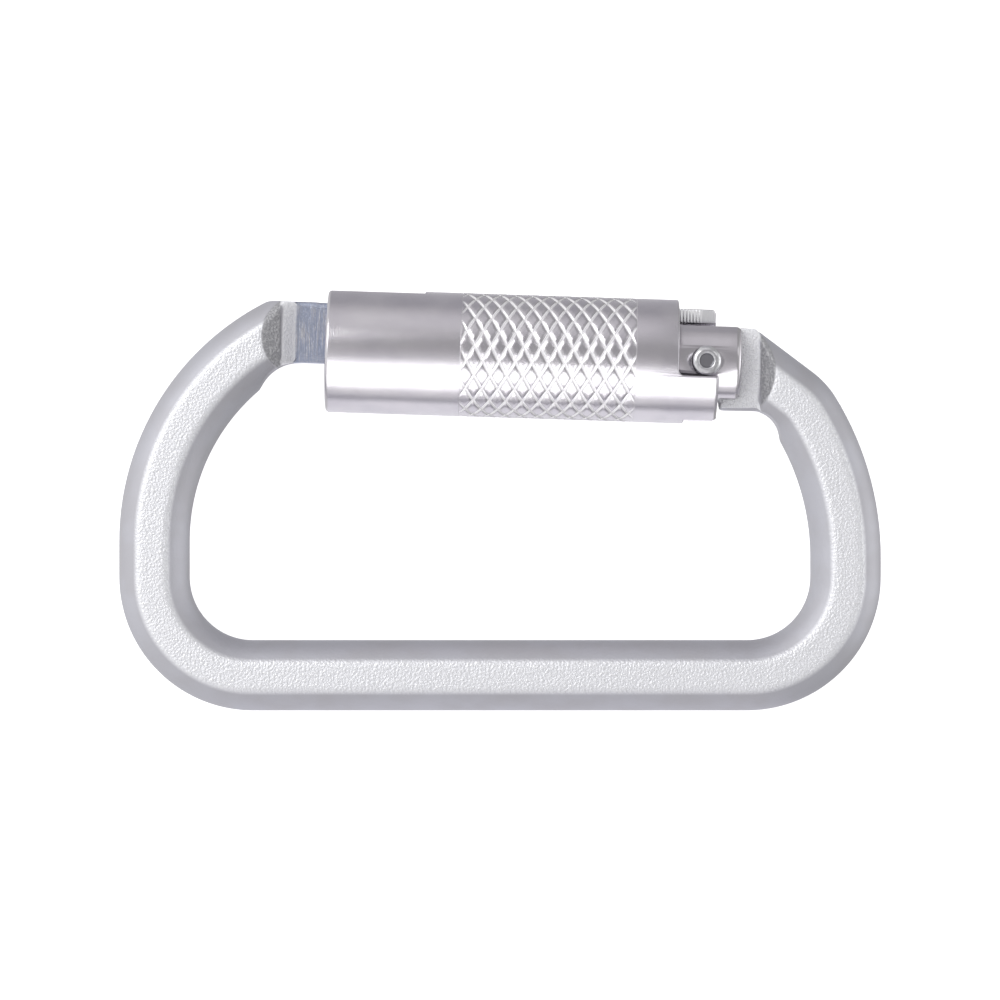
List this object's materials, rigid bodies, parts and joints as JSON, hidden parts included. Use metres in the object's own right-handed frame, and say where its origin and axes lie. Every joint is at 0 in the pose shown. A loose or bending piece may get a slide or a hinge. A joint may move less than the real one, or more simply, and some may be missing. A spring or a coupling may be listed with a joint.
{
  "type": "locking carabiner",
  "caption": "D-shaped steel locking carabiner with a spring-closed pivoting gate under a knurled twist sleeve.",
  "frame": {"origin": "centre of the bounding box with the gate closed, in the mid-plane of the bar", "axes": "+X along the spine towards the gate's hinge, +Y from the spine towards the gate, +Z out of the face that shows the pin"},
  "size_m": [0.108, 0.0595, 0.0176],
  "materials": {
    "body_steel": "zinc-plated, fine shot-blasted satin",
    "gate_steel": "turned, zinc-plated",
    "pin_steel": "bright turned",
    "sleeve_steel": "fine turned, zinc-plated, with a diamond knurl",
    "spring_wire": "drawn spring wire",
    "ring_steel": "dark phosphated",
    "bush_brass": "turned"
  },
  "bodies": {
    "frame": {"body": "body_steel"},
    "gate": {"gate": "gate_steel", "hinge_pin": "pin_steel", "latch_pin": "pin_steel", "gate_spring": "spring_wire", "retaining_ring": "ring_steel"},
    "plunger": {"gate_plunger": "pin_steel"},
    "sleeve": {"sleeve": "sleeve_steel", "sleeve_bush": "bush_brass", "sleeve_spring": "spring_wire"}
  },
  "joints": [
    {"name": "gate_swing", "type": "hinge", "parent": "frame", "child": "gate", "pos_m": [0.0289, 0.0195, 0], "axis": [0, 0, 1], "range_deg": [0, 36], "stiffness_Nm_per_rad": 0.4, "springref_deg": -34.38},
    {"name": "sleeve_twist", "type": "hinge", "parent": "gate", "child": "sleeve", "pos_m": [0.0289, 0.0195, 0], "axis": [0.9995, -0.0323, 0], "range_deg": [0, 100], "stiffness_Nm_per_rad": 0.03, "springref_deg": -57.3, "deforming": ["sleeve_spring"]},
    {"name": "plunger_slide", "type": "slide", "parent": "gate", "child": "plunger", "axis": [-0.9995, 0.0323, 0], "range_m": [0, 0.00101], "deforming": ["gate_spring"]}
  ],
  "couplings": [
    {"joint": "plunger_slide", "follows": "gate_swing", "m_per_rad": 0.0015915}
  ]
}
